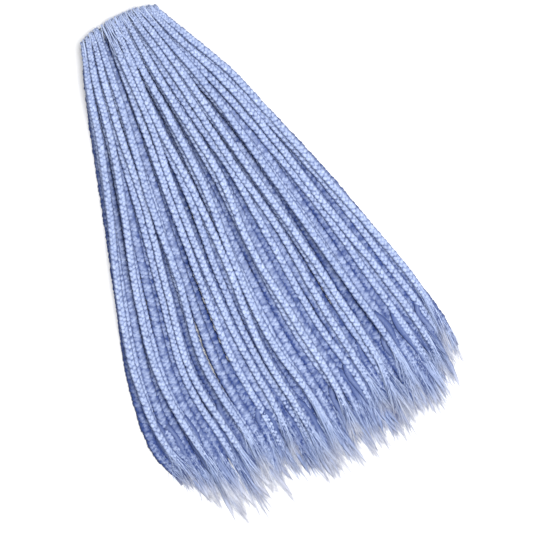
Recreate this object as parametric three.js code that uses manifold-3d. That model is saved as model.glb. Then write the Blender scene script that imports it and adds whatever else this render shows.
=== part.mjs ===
// A bundle of crochet box braids lying flat, its loops strung on one elastic tie.
// Lengths are in millimetres. +Y runs from the loose tips to the tied head, and +Z is up.
import * as THREE from 'three';
import { mergeVertices } from 'three/addons/utils/BufferGeometryUtils.js';
import Module from 'manifold-3d';

const wasm = await Module();
wasm.setup();

// Driving dimensions of one braid
const BRAID_WIDTH = 7.0;
const BRAID_THICKNESS = 4.7;
const PLAIT_LENGTH = 388;
const BRUSH_LENGTH = 52;
const NECK_LENGTH = 40;
const NECK_WIDTH = 1.7;
const LOOP_STRAND = 1.2;

// Driving dimensions of the tie and of the fan that the braids lie in
const TIE_DIAMETER = 1.5;
const BARE_TIE_LENGTH = 5;
const LEFT_REACH = 138;
const RIGHT_REACH = 151;
const LENGTH_SCATTER = 8;
const SWAY_ONSET = 100;
const CLEARANCE = 0.3;

// How many loops the tie carries on each side of its bare stretch, in slots two loops high
const LEFT_LOOP_COUNT = 8;
const RIGHT_LOOP_COUNT = 18;

// The tie's arch: its slope at the ends and how suddenly it bends there
const TIE_END_SLOPE = 0.5;
const TIE_ARCH_POWER = 2.5;

// The fan's sides: how early they spread, the share of the length after which they run
// straight on, and how far they sway to the right at even steps of the length, in braid widths
const FAN_SIDES = {
  left: { power: 1.35, settled: 0.85, sways: [0, 0, 0.15, 0, -0.4, -0.9, -0.65, 1.1, 1.8] },
  right: { power: 1.65, settled: 1, sways: [0, 0.2, 0.3, 0.55, 0.4, -0.1, 0.2, 0.25, -0.4] },
};

// Shares of a braid's length: what the fan's corners lose, and how a braid wanders
const CORNER_TRIM_SHARE = 0.08;
const CORNER_POWER = 7;
const BRUSH_SCATTER_SHARE = 0.18;
const WAVE_SHARE = 0.55;
const WAVE_SCATTER_SHARE = 0.15;
const WAVE_CALM_SHARE = 0.3;

// How steeply a braid may come down from what it lies on
const PLAIT_SLOPE = 0.09;
const BRUSH_SLOPE = 0.25;

const HAIR_COLOUR = 0x9db0e6;
const TIE_COLOUR = 0x2c2a22;

// The four layers of the pile, from the floor up. run is the stretch of the tie that carries
// the loops, slot which of its loops, lane the layer's place between the others' at the wide
// end, stray how far a braid leaves that place, both as shares of the layer's spacing, wave
// how far it wanders from side to side as a share of its width, and folded whether the neck
// climbs over the head's edge.
const LAYERS = [
  { run: 'lower', slot: 0, lane: 0.17, stray: 0.04, wave: 0.14, folded: false },
  { run: 'lower', slot: 1, lane: 0.83, stray: 0.04, wave: 0.14, folded: false },
  { run: 'upper', slot: 0, lane: 0.5, stray: 0.04, wave: 0.2, folded: false },
  { run: 'upper', slot: 1, lane: 0.66, stray: 0.38, wave: 0.6, folded: true },
];

// Sections of a braid. at is a share of the stretch's length; width and thickness say how far
// the section has grown from the neck's to the plait's, or in the brush a share of the plait's.
const SECTIONS = [
  { stretch: 'neck', at: 0, width: 0, thickness: 0 },
  { stretch: 'neck', at: 0.11, width: 0.02, thickness: 0.05 },
  { stretch: 'neck', at: 0.24, width: 0.43, thickness: 0.3 },
  { stretch: 'neck', at: 0.45, width: 0.8, thickness: 0.75 },
  { stretch: 'neck', at: 1, width: 1, thickness: 1 },
  { stretch: 'plait', at: 0.16, width: 1, thickness: 1 },
  { stretch: 'plait', at: 0.36, width: 1, thickness: 1 },
  { stretch: 'plait', at: 0.57, width: 1, thickness: 1 },
  { stretch: 'plait', at: 0.79, width: 1, thickness: 1 },
  { stretch: 'plait', at: 1, width: 0.85, thickness: 0.9 },
  { stretch: 'brush', at: 0.4, width: 0.7, thickness: 0.5 },
  { stretch: 'brush', at: 1, width: 0, thickness: 0 },
];
const FIXED_SECTION_COUNT = 2;

// How a top braid climbs over the head's edge: forward of its loop in layers, the share of the
// climb to the fold's top, the share of the way to where it comes to rest, and how far its
// width has grown from the neck's to the plait's
const FOLD = [
  { forward: 0, climb: 0, drift: 0, width: 0 },
  { forward: 0.3, climb: 0.55, drift: 0.12, width: 0.3 },
  { forward: -0.35, climb: 1, drift: 0.24, width: 0.6 },
];
const FOLD_OVER_LOOP_SHARE = 0.55;
const FOLD_OVER_REST_SHARE = 0.1;
const RUN_GAP_RATIO = 1.75;

// Corners of a section, as shares of its half width and half thickness
const CORNERS = [
  { side: 1, over: 0 },
  { side: 0.5, over: 1 },
  { side: -0.5, over: 1 },
  { side: -1, over: 0 },
  { side: -0.5, over: -1 },
  { side: 0.5, over: -1 },
];

// Loops and their spacing along the tie
const loopInner = TIE_DIAMETER / 2 + CLEARANCE;
const loopMean = loopInner + LOOP_STRAND / 2;
const loopOuter = loopInner + LOOP_STRAND;
const endAngle = Math.atan(TIE_END_SLOPE);
const loopReach = loopOuter * Math.sin(endAngle) + (LOOP_STRAND / 2) * Math.cos(endAngle);
const loopPitch = loopReach + NECK_WIDTH / 2 + CLEARANCE;
const loopCount = LEFT_LOOP_COUNT + RIGHT_LOOP_COUNT;
const braidsInLayer = Math.floor(loopCount / 2);

// The tie's two runs, one over the other, and the arch that they follow
const tieLeft = -BARE_TIE_LENGTH / 2 - LEFT_LOOP_COUNT * loopPitch;
const tieRight = BARE_TIE_LENGTH / 2 + RIGHT_LOOP_COUNT * loopPitch;
const tieMiddle = (tieLeft + tieRight) / 2;
const tieHalf = (tieRight - tieLeft) / 2;
const tieDrop = (TIE_END_SLOPE * tieHalf) / TIE_ARCH_POWER;
const layerRise = BRAID_THICKNESS + CLEARANCE;
const lowerRun = loopOuter + CLEARANCE;
const upperRun = lowerRun + Math.max(2 * loopOuter + CLEARANCE, RUN_GAP_RATIO * layerRise);

// A repeatable scatter from -1 to 1, for one braid and one purpose
function scatter(braid, purpose) {
  const wave = Math.sin((braid + 1) * 12.9898 + purpose * 78.233) * 43758.5453;
  return 2 * (wave - Math.floor(wave)) - 1;
}

function clamp(value, low, high) {
  return Math.min(Math.max(value, low), high);
}

function mix(from, to, share) {
  return from + (to - from) * share;
}

function smooth(value) {
  const share = clamp(value, 0, 1);
  return share * share * (3 - 2 * share);
}

// A value read from evenly spaced entries at a share of the way through them
function alongTable(entries, share) {
  const place = clamp(share, 0, 1) * (entries.length - 1);
  const entry = Math.min(Math.floor(place), entries.length - 2);
  return mix(entries[entry], entries[entry + 1], smooth(place - entry));
}

// How far the tie's arch lies behind its middle
function tieArch(x) {
  const share = Math.abs(x - tieMiddle) / tieHalf;
  return -tieDrop * share ** TIE_ARCH_POWER;
}

function tieSlope(x) {
  const share = (x - tieMiddle) / tieHalf;
  const steepness = TIE_END_SLOPE * Math.min(Math.abs(share), 1) ** (TIE_ARCH_POWER - 1);
  return -Math.sign(share) * steepness;
}

// Where the loop in a slot sits along the tie. The lower run has no bare stretch.
function slotPlace(slot, run) {
  if (run === 'lower') {
    return mix(tieLeft, tieRight, (slot + 0.5) / loopCount);
  }
  if (slot < LEFT_LOOP_COUNT) {
    return -BARE_TIE_LENGTH / 2 - (LEFT_LOOP_COUNT - slot - 0.5) * loopPitch;
  }
  return BARE_TIE_LENGTH / 2 + (slot - LEFT_LOOP_COUNT + 0.5) * loopPitch;
}

// The way that a braid takes, seen from above, as a function of the length along it
function layRoute(braid) {
  const fanDepth = PLAIT_LENGTH + BRUSH_LENGTH;
  const waveLength = fanDepth * (WAVE_SHARE + WAVE_SCATTER_SHARE * scatter(braid.number, 1));
  const wavePhase = Math.PI * scatter(braid.number, 2);
  const waveShare = 1 - WAVE_CALM_SHARE * (1 - scatter(braid.number, 3));
  const waveHeight = BRAID_WIDTH * braid.wave * waveShare;
  const settled = fanDepth * mix(FAN_SIDES.left.settled, FAN_SIDES.right.settled, braid.lane);
  const power = mix(FAN_SIDES.left.power, FAN_SIDES.right.power, braid.lane);
  const step = BRAID_WIDTH / 4;
  const longest = fanDepth + LENGTH_SCATTER + BRUSH_LENGTH * BRUSH_SCATTER_SHARE;
  const places = [];
  let length = 0;
  for (let depth = 0; length <= longest; depth += step) {
    const leftSway = alongTable(FAN_SIDES.left.sways, depth / fanDepth);
    const rightSway = alongTable(FAN_SIDES.right.sways, depth / fanDepth);
    const sway = BRAID_WIDTH * mix(leftSway, rightSway, braid.lane);
    const wave = waveHeight * Math.sin((2 * Math.PI * depth) / waveLength + wavePhase);
    const spread = 1 - Math.max(1 - depth / settled, 0) ** power;
    const x = mix(braid.root.x, braid.end, spread) + (sway + wave) * smooth(depth / SWAY_ONSET);
    const y = braid.root.y - depth;
    const last = places[places.length - 1];
    if (last) {
      length += Math.hypot(x - last.x, y - last.y);
    }
    places.push({ x, y, length });
  }
  return (wanted) => {
    const next = Math.max(places.findIndex((place) => place.length > wanted), 1);
    const a = places[next - 1];
    const b = places[next];
    const share = (wanted - a.length) / (b.length - a.length);
    const heading = Math.atan2(b.x - a.x, a.y - b.y);
    return { x: mix(a.x, b.x, share), y: mix(a.y, b.y, share), heading };
  };
}

// The height that a section keeps over one braid that lies there already
function heightOver(section, laid) {
  let height = 0;
  for (let k = 0; k + 1 < laid.length; k += 1) {
    const a = laid[k];
    const b = laid[k + 1];
    const dx = b.x - a.x;
    const dy = b.y - a.y;
    const along = ((section.x - a.x) * dx + (section.y - a.y) * dy) / (dx * dx + dy * dy);
    const share = clamp(along, 0, 1);
    const distance = Math.hypot(section.x - a.x - dx * share, section.y - a.y - dy * share);
    const reach = (section.width + mix(a.width, b.width, share)) / 2 + CLEARANCE;
    if (distance < reach) {
      const lean = Math.min(1, (2 * (reach - distance)) / reach);
      const stack = (section.thickness + mix(a.thickness, b.thickness, share)) / 2 + CLEARANCE;
      height = Math.max(height, mix(a.z, b.z, share) + stack * lean);
    }
  }
  return height;
}

// Samples between two sections, each with the height that the pile below asks for
function pileSamples(a, b, pile) {
  const fewest = 4;
  const count = Math.max(fewest, Math.ceil(Math.hypot(b.x - a.x, b.y - a.y) / (BRAID_WIDTH / 2)));
  const samples = [];
  for (let k = 0; k <= count; k += 1) {
    const share = k / count;
    const section = {
      x: mix(a.x, b.x, share),
      y: mix(a.y, b.y, share),
      width: mix(a.width, b.width, share),
      thickness: mix(a.thickness, b.thickness, share),
    };
    let height = section.thickness / 2;
    for (const laid of pile) {
      height = Math.max(height, heightOver(section, laid));
    }
    samples.push({ share, height });
  }
  return samples;
}

// Lifts the ends of each span onto the pile, then further until all its samples clear it. A
// span that starts at a loop keeps that end, and its samples near the loop are clear already.
function liftOverPile(spans) {
  const passes = 8;
  for (const { a, b, samples, atLoop } of spans) {
    if (!atLoop) {
      a.z = Math.max(a.z, samples[0].height);
    }
    b.z = Math.max(b.z, samples[samples.length - 1].height);
  }
  for (let pass = 0; pass < passes; pass += 1) {
    for (const { a, b, samples, atLoop } of spans) {
      for (const { share, height } of samples) {
        const lack = height - mix(a.z, b.z, share);
        if (lack > 0 && atLoop) {
          b.z += share < 0.5 ? 0 : lack / share;
        } else if (lack > 0) {
          const pull = share * share + (1 - share) * (1 - share);
          a.z += (lack * (1 - share)) / pull;
          b.z += (lack * share) / pull;
        }
      }
    }
  }
}

// Lifts what would come down more steeply than hair bends
function easeSlopes(sections) {
  const fall = (a, b) => b.steepest * Math.hypot(b.x - a.x, b.y - a.y);
  for (let k = sections.length - 1; k > 0; k -= 1) {
    sections[k - 1].z = Math.max(sections[k - 1].z, sections[k].z - fall(sections[k - 1], sections[k]));
  }
  for (let k = 1; k < sections.length; k += 1) {
    sections[k].z = Math.max(sections[k].z, sections[k - 1].z - fall(sections[k - 1], sections[k]));
  }
}

// Lays a braid's free sections down on the pile, from the first free one to the tip
function settle(sections, firstFree, pile) {
  const spans = [];
  for (let k = Math.max(firstFree - 1, 0); k + 1 < sections.length; k += 1) {
    const a = sections[k];
    const b = sections[k + 1];
    spans.push({ a, b, samples: pileSamples(a, b, pile), atLoop: k < firstFree });
  }
  liftOverPile(spans);
  easeSlopes(sections.slice(firstFree));
}

// One braid's sections in place, laid down on the pile
function laySections(braid, pile) {
  const route = layRoute(braid);
  const cornerTrim = CORNER_TRIM_SHARE * Math.abs(2 * braid.lane - 1) ** CORNER_POWER;
  const plaitLength = PLAIT_LENGTH * (1 - cornerTrim) + LENGTH_SCATTER * scatter(braid.number, 4);
  const brushLength = BRUSH_LENGTH * (1 + BRUSH_SCATTER_SHARE * scatter(braid.number, 5));
  const starts = { neck: 0, plait: NECK_LENGTH, brush: plaitLength };
  const lengths = { neck: NECK_LENGTH, plait: plaitLength - NECK_LENGTH, brush: brushLength };
  const foldSlack = braid.folded ? layerRise : 0;
  const sections = SECTIONS.map((row, k) => {
    const inBrush = row.stretch === 'brush';
    const along = starts[row.stretch] + lengths[row.stretch] * row.at;
    const place = route(Math.max(along - foldSlack, 0));
    const grown = braid.folded && k < FOLD.length ? FOLD[k].width : row.width;
    const width = inBrush ? BRAID_WIDTH * row.width : mix(NECK_WIDTH, BRAID_WIDTH, grown);
    const thickness = inBrush
      ? BRAID_THICKNESS * row.thickness
      : mix(NECK_WIDTH, BRAID_THICKNESS, row.thickness);
    const steepest = inBrush ? BRUSH_SLOPE : PLAIT_SLOPE;
    return { ...place, z: k < FIXED_SECTION_COUNT ? braid.loop.z : 0, width, thickness, steepest };
  });
  if (braid.folded) {
    settle(sections.slice(FOLD.length - 1), 0, pile);
    foldOver(sections, braid.loop);
  } else {
    settle(sections, FIXED_SECTION_COUNT, pile);
  }
  return sections;
}

// Leads a top braid from its loop's upper wall up and over the head's edge
function foldOver(sections, loop) {
  const rest = sections[FOLD.length];
  const wall = loop.z + loopMean;
  const overLoop = loop.z + loopOuter + FOLD_OVER_LOOP_SHARE * layerRise;
  const top = Math.max(rest.z + FOLD_OVER_REST_SHARE * layerRise, overLoop);
  for (const [k, { forward, climb, drift }] of FOLD.entries()) {
    sections[k].x = mix(loop.x, rest.x, drift);
    sections[k].y = loop.y + forward * layerRise;
    sections[k].z = mix(wall, top, climb);
  }
}

// The faces of a lofted tube: closed on itself, or closed by a flat start and a pointed end
function loft(rings, tip) {
  const points = rings.flat();
  const faces = [];
  const sides = rings[0].length;
  const spans = tip ? rings.length - 1 : rings.length;
  for (let k = 0; k < spans; k += 1) {
    const here = k * sides;
    const next = ((k + 1) % rings.length) * sides;
    for (let side = 0; side < sides; side += 1) {
      const turn = (side + 1) % sides;
      faces.push(here + side, here + turn, next + side);
      faces.push(next + side, here + turn, next + turn);
    }
  }
  if (tip) {
    const lastRing = (rings.length - 1) * sides;
    points.push(tip);
    for (let side = 1; side + 1 < sides; side += 1) {
      faces.push(0, side + 1, side);
    }
    for (let side = 0; side < sides; side += 1) {
      faces.push(lastRing + side, lastRing + ((side + 1) % sides), points.length - 1);
    }
  }
  const geometry = new THREE.BufferGeometry();
  const positions = points.flatMap((point) => point.toArray());
  geometry.setAttribute('position', new THREE.Float32BufferAttribute(positions, 3));
  geometry.setIndex(faces);
  return geometry;
}

function toSolid(geometry) {
  const bare = geometry.clone();
  bare.deleteAttribute('normal');
  bare.deleteAttribute('uv');
  const merged = mergeVertices(bare, 1e-4);
  const vertProperties = new Float32Array(merged.attributes.position.array);
  const triVerts = new Uint32Array(merged.index.array);
  return new wasm.Manifold(new wasm.Mesh({ numProp: 3, vertProperties, triVerts }));
}

function toGeometry(solid) {
  const { vertProperties, triVerts, numProp } = solid.getMesh();
  const positions = [];
  for (let k = 0; k < vertProperties.length; k += numProp) {
    positions.push(vertProperties[k], vertProperties[k + 1], vertProperties[k + 2]);
  }
  const geometry = new THREE.BufferGeometry();
  geometry.setAttribute('position', new THREE.Float32BufferAttribute(positions, 3));
  geometry.setIndex(Array.from(triVerts));
  geometry.computeVertexNormals();
  return geometry;
}

// The plaited body of a braid, from inside its loop's strand to the tip of its loose hair
function braidBody(sections) {
  const places = sections.map((section) => new THREE.Vector3(section.x, section.y, section.z));
  const rings = sections.slice(0, -1).map((section, k) => {
    const ahead = places[k + 1].clone().sub(places[Math.max(k - 1, 0)]).normalize();
    const side = new THREE.Vector3(Math.cos(section.heading), Math.sin(section.heading), 0);
    const over = ahead.clone().cross(side).normalize();
    return CORNERS.map((corner) => places[k].clone()
      .addScaledVector(side, (corner.side * section.width) / 2)
      .addScaledVector(over, (corner.over * section.thickness) / 2));
  });
  return loft(rings, places[places.length - 1]);
}

// The smooth loop at a braid's head, closed round the tie
function crochetLoop(loop) {
  const strandSides = 5;
  const loopSteps = 6;
  const geometry = new THREE.TorusGeometry(loopMean, LOOP_STRAND / 2, strandSides, loopSteps);
  geometry.rotateY(Math.PI / 2);
  geometry.rotateZ(Math.atan(tieSlope(loop.x)));
  geometry.translate(loop.x, loop.y, loop.z);
  return geometry;
}

// Every other braid of a layer is laid first, and the rest rest between and on them
function makeBraids() {
  const places = Array.from({ length: braidsInLayer }, (_, place) => place);
  const layingOrder = [...places.filter((p) => p % 2 === 0), ...places.filter((p) => p % 2 === 1)];
  const pile = [];
  const braids = [];
  for (const [height, layer] of LAYERS.entries()) {
    for (const place of layingOrder) {
      const number = height * braidsInLayer + place;
      const x = slotPlace(2 * place + layer.slot, layer.run);
      const z = layer.run === 'lower' ? lowerRun : upperRun;
      const turn = Math.atan(tieSlope(x));
      const wallReach = layer.folded ? 0 : loopMean;
      const lane = (place + layer.lane + layer.stray * scatter(number, 6)) / braidsInLayer;
      const braid = {
        number,
        lane,
        wave: layer.wave,
        folded: layer.folded,
        loop: { x, y: tieArch(x), z },
        root: { x: x + wallReach * Math.sin(turn), y: tieArch(x) - wallReach * Math.cos(turn) },
        end: mix(-LEFT_REACH, RIGHT_REACH, lane),
      };
      const sections = laySections(braid, pile);
      pile.push(sections);
      braids[number] = toGeometry(toSolid(braidBody(sections)).add(toSolid(crochetLoop(braid.loop))));
    }
  }
  return braids;
}

// The elastic tie: two runs joined round both ends, bowed back along the arch
function makeTie() {
  const runSteps = 9;
  const turnSteps = 3;
  const sides = 6;
  const turnRadius = (upperRun - lowerRun) / 2;
  const middleHeight = (upperRun + lowerRun) / 2;
  const route = [];
  for (const way of [1, -1]) {
    for (let k = 0; k < runSteps; k += 1) {
      const x = tieMiddle + way * mix(-tieHalf, tieHalf, k / runSteps);
      route.push({ x, z: middleHeight + way * turnRadius });
    }
    for (let k = 0; k < turnSteps; k += 1) {
      const angle = (Math.PI * k) / turnSteps;
      route.push({
        x: tieMiddle + way * (tieHalf + turnRadius * Math.sin(angle)),
        z: middleHeight + way * turnRadius * Math.cos(angle),
      });
    }
  }
  const places = route.map(({ x, z }) => {
    const inside = clamp(x, tieLeft, tieRight);
    return new THREE.Vector3(x, tieArch(inside) + tieSlope(inside) * (x - inside), z);
  });
  const rings = places.map((place, k) => {
    const before = places[(k + places.length - 1) % places.length];
    const after = places[(k + 1) % places.length];
    const ahead = after.clone().sub(before).normalize();
    const back = new THREE.Vector3(0, -1, 0);
    const across = ahead.clone().cross(back).normalize();
    const beside = across.clone().cross(ahead).normalize();
    return Array.from({ length: sides }, (_, side) => {
      const angle = (2 * Math.PI * side) / sides;
      return place.clone()
        .addScaledVector(beside, (Math.cos(angle) * TIE_DIAMETER) / 2)
        .addScaledVector(across, (Math.sin(angle) * TIE_DIAMETER) / 2);
    });
  });
  return toGeometry(toSolid(loft(rings, null)));
}

function named(name, geometry, material) {
  const mesh = new THREE.Mesh(geometry, material);
  mesh.name = name;
  return mesh;
}

const hair = new THREE.MeshStandardMaterial({ color: HAIR_COLOUR, roughness: 0.55, metalness: 0 });
const elastic = new THREE.MeshStandardMaterial({ color: TIE_COLOUR, roughness: 0.8, metalness: 0 });

const bundle = new THREE.Group();
bundle.add(named('tie_cord', makeTie(), elastic));
for (const [index, geometry] of makeBraids().entries()) {
  bundle.add(named(`braid_${String(index + 1).padStart(2, '0')}`, geometry, hair));
}

// The origin is the middle of the footprint, on the surface that the bundle lies on
const extent = new THREE.Box3().setFromObject(bundle);
bundle.position.set(
  -(extent.min.x + extent.max.x) / 2,
  -(extent.min.y + extent.max.y) / 2,
  -extent.min.z,
);
bundle.updateMatrixWorld(true);

export default bundle;
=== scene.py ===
"""Looks for a bundle of crochet box braids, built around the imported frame."""

import math

import bpy
import numpy as np
from bpy.props import FloatProperty, FloatVectorProperty, IntProperty, PointerProperty
from bpy.types import Operator, Panel, PropertyGroup
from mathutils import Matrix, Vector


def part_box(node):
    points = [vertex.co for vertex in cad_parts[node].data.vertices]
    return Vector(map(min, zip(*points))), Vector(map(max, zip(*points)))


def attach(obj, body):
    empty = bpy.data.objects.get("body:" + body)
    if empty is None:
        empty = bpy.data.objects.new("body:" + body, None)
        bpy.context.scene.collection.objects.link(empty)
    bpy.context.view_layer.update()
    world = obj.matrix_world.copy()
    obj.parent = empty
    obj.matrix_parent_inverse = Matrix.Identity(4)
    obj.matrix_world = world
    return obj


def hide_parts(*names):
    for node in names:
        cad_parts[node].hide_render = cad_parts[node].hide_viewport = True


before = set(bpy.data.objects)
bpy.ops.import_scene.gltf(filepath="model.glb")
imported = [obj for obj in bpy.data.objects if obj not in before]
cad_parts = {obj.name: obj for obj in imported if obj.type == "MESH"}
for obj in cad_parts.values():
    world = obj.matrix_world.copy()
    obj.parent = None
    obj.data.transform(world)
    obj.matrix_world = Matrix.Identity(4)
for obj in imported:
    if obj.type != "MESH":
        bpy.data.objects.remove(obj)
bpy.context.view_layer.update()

bl_info = {
    "name": "Crochet box braid bundle",
    "version": (1, 0, 0),
    "blender": (4, 5, 0),
    "location": "3D View > Sidebar > Braids",
    "description": "Builds the plaited hair, the elastic tie and the stage around the packed frame",
    "category": "Add Mesh",
}

BRAIDS = sorted(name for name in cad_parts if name.startswith("braid_"))
# The sections of a braid's solid, and the corners of each
SECTION_RINGS = 10
SECTION_CORNERS = 6
# Braids in the lowest layer and in the two lower layers, and those below the top layer
BRAIDS_LOWEST = 13
BRAIDS_BELOW = 26
TOP_BRAID = 39
# An outermost braid's tip lies farther from the middle than this
OUTER_TIP = 0.118
# Left of this place the other tips reach farther, by this share of the brush
LONGER_SIDE = -0.055
LONGER_SHARE = 0.24
# How far two locks lie beside each of the lowest plaits, in half widths
BESIDE_PLAIT = 1.75
BESIDE_NOTCH = ("braid_31", "braid_32", "braid_44")
# Locks in each brush, and how far above the floor hair stays
CLUMPS = 9
FLOOR_GAP = 0.0001
PLAIT_SEED = 4000
HEAD_SEED = 5000
# Numbers of a colour mix node's sockets: share, low and high in, and the result out
MIX_INPUTS = (0, 6, 7)
MIX_RESULT = 2


def colour_choice(name, description, default):
    """A colour setting."""
    return FloatVectorProperty(
        name=name,
        description=description,
        default=default,
        size=3,
        min=0.0,
        max=1.0,
        subtype="COLOR",
    )


class BraidSettings(PropertyGroup):
    """Sizes and colours of the plaited hair."""

    stitch_length: FloatProperty(
        name="Stitch length",
        description="Length in which the three strands of a full-width plait change places once",
        default=0.0130,
        min=0.004,
        unit="LENGTH",
    )
    fullness: FloatProperty(
        name="Fullness",
        description="How wide the strands together stand, as a share of the plait's half width",
        default=1.02,
        min=0.8,
        max=1.3,
        subtype="FACTOR",
    )
    fullness_below: FloatProperty(
        name="Fullness below",
        description="The fullness of the plaits that lie under the others and are pressed flatter",
        default=1.28,
        min=0.8,
        max=1.4,
        subtype="FACTOR",
    )
    swing: FloatProperty(
        name="Swing",
        description="How far a strand's middle swings to the side, as a share of the plait's half width",
        default=0.46,
        min=0.1,
        max=0.9,
        subtype="FACTOR",
    )
    lift: FloatProperty(
        name="Lift",
        description="How far a strand's middle rises and dips, as a share of the plait's half thickness",
        default=0.5,
        min=0.1,
        max=0.9,
        subtype="FACTOR",
    )
    brush_hairs: IntProperty(
        name="Brush hairs",
        description="Loose hairs in the unplaited end of each braid",
        default=160,
        min=0,
    )
    fuzz_hairs: IntProperty(
        name="Fuzz hairs",
        description="Short hairs that stand off each plait",
        default=70,
        min=0,
    )
    hair_width: FloatProperty(
        name="Hair width",
        description="Width of a loose hair, or of a few that cling together, where it leaves the plait",
        default=0.00034,
        min=0.00005,
        unit="LENGTH",
    )
    stray_reach: FloatProperty(
        name="Stray reach",
        description="How far a stray hair of the brush wanders to the side",
        default=0.0042,
        min=0.0,
        unit="LENGTH",
    )
    loose_neck: FloatProperty(
        name="Loose neck",
        description="Length beside the notch over which the hair isn't plaited yet",
        default=0.02,
        min=0.0,
        unit="LENGTH",
    )
    light_colour: colour_choice(
        "Light hair", "Colour of the hair where a stitch bulges", (0.59, 0.695, 0.96)
    )
    middle_colour: colour_choice("Middle hair", "Colour of most of the hair", (0.37, 0.46, 0.72))
    # The colour of the painted shade: dark navy mixed into creases, undersides, flanks and lower layers
    shade_colour: colour_choice(
        "Shade on hair", "Colour painted as shade on the hair: in creases, on undersides and flanks, and on lower layers", (0.004, 0.031, 0.195)
    )
    tip_colour: colour_choice("Hair tips", "Colour of the thinned-out hair ends", (0.93, 0.94, 1.0))


class TieSettings(PropertyGroup):
    """Size and colours of the elastic tie."""

    diameter: FloatProperty(
        name="Tie diameter",
        description="Thickness of the elastic cord that the loops hang on",
        default=0.0015,
        min=0.0005,
        unit="LENGTH",
    )
    cord_colour: colour_choice(
        "Tie cord", "Colour of the cord's woven cover", (0.030, 0.028, 0.017)
    )
    thread_colour: colour_choice(
        "Tie thread", "Colour of the lighter threads in the cover", (0.16, 0.15, 0.09)
    )


class StageSettings(PropertyGroup):
    """The floor, the lights and the camera."""

    floor_colour: colour_choice("Floor", "Colour of the plain floor", (0.98, 0.98, 0.98))
    camera_height: FloatProperty(
        name="Camera height",
        description="Height of the camera above the floor",
        default=1.5,
        min=0.3,
        unit="LENGTH",
    )
    view_width: FloatProperty(
        name="View width",
        description="Width that the picture covers at the height of the hair",
        default=0.4726,
        min=0.05,
        unit="LENGTH",
    )
    key_power: FloatProperty(
        name="Key light",
        description="Power of the large light at the upper right",
        default=20.0,
        min=0.0,
        unit="POWER",
    )
    sky_strength: FloatProperty(
        name="Sky",
        description="Strength of the even light from all round",
        default=0.34,
        min=0.0,
    )


def follow(knots, values, places, monotone):
    """Values at places on a smooth line through the knots, without overshoot if monotone."""
    spans = np.diff(knots)
    slopes = np.diff(values) / spans
    tangents = np.empty(len(values))
    tangents[0], tangents[-1] = slopes[0], slopes[-1]
    before, after = spans[:-1], spans[1:]
    tangents[1:-1] = (slopes[:-1] * after + slopes[1:] * before) / (before + after)
    if monotone:
        same_way = slopes[:-1] * slopes[1:] > 0
        steepest = 3 * np.minimum(np.abs(slopes[:-1]), np.abs(slopes[1:]))
        tangents[1:-1] = np.where(same_way, np.clip(tangents[1:-1], -steepest, steepest), 0.0)
    span = np.clip(np.searchsorted(knots, places, side="right") - 1, 0, len(spans) - 1)
    width = spans[span]
    t = (places - knots[span]) / width
    rise, fall = t * t * (3 - 2 * t), 1 - t * t * (3 - 2 * t)
    leave, arrive = t * (1 - t) ** 2 * width, t * t * (t - 1) * width
    return (
        values[span] * fall
        + values[span + 1] * rise
        + tangents[span] * leave
        + tangents[span + 1] * arrive
    )


def unit(vectors):
    """Vectors of length one, row by row."""
    return vectors / np.maximum(np.linalg.norm(vectors, axis=-1, keepdims=True), 1e-12)


def drift(chance, lengths, spacing):
    """A smooth random wander between -1 and 1 along these lengths, with bends this far apart."""
    stops = chance.uniform(-1, 1, int(lengths.max() / spacing) + 3)
    stop = (lengths / spacing).astype(int)
    ease = smooth(lengths / spacing - stop)
    return stops[stop] * (1 - ease) + stops[stop + 1] * ease


def smooth(share):
    """Eases a share from 0 to 1."""
    share = np.clip(share, 0.0, 1.0)
    return share * share * (3 - 2 * share)


def step_counts(node, start_at_tip):
    """Merged corner points of a node, and each point's number of edges from its tip."""
    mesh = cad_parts[node].data
    corners = np.empty(len(mesh.vertices) * 3, np.float32)
    mesh.vertices.foreach_get("co", corners)
    points, merged = np.unique(np.round(corners.reshape(-1, 3), 6), axis=0, return_inverse=True)
    merged = merged.ravel()
    near = [set() for _ in points]
    for edge in mesh.edges:
        a, b = (merged[v] for v in edge.vertices)
        near[a].add(b)
        near[b].add(a)
    tip = int(np.argmin(points[:, 1])) if start_at_tip else 0
    steps = {tip: 0}
    queue = [tip]
    for point in queue:
        for other in near[point]:
            if other not in steps:
                steps[other] = steps[point] + 1
                queue.append(other)
    return points, np.array([steps[k] for k in range(len(points))])


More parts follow.
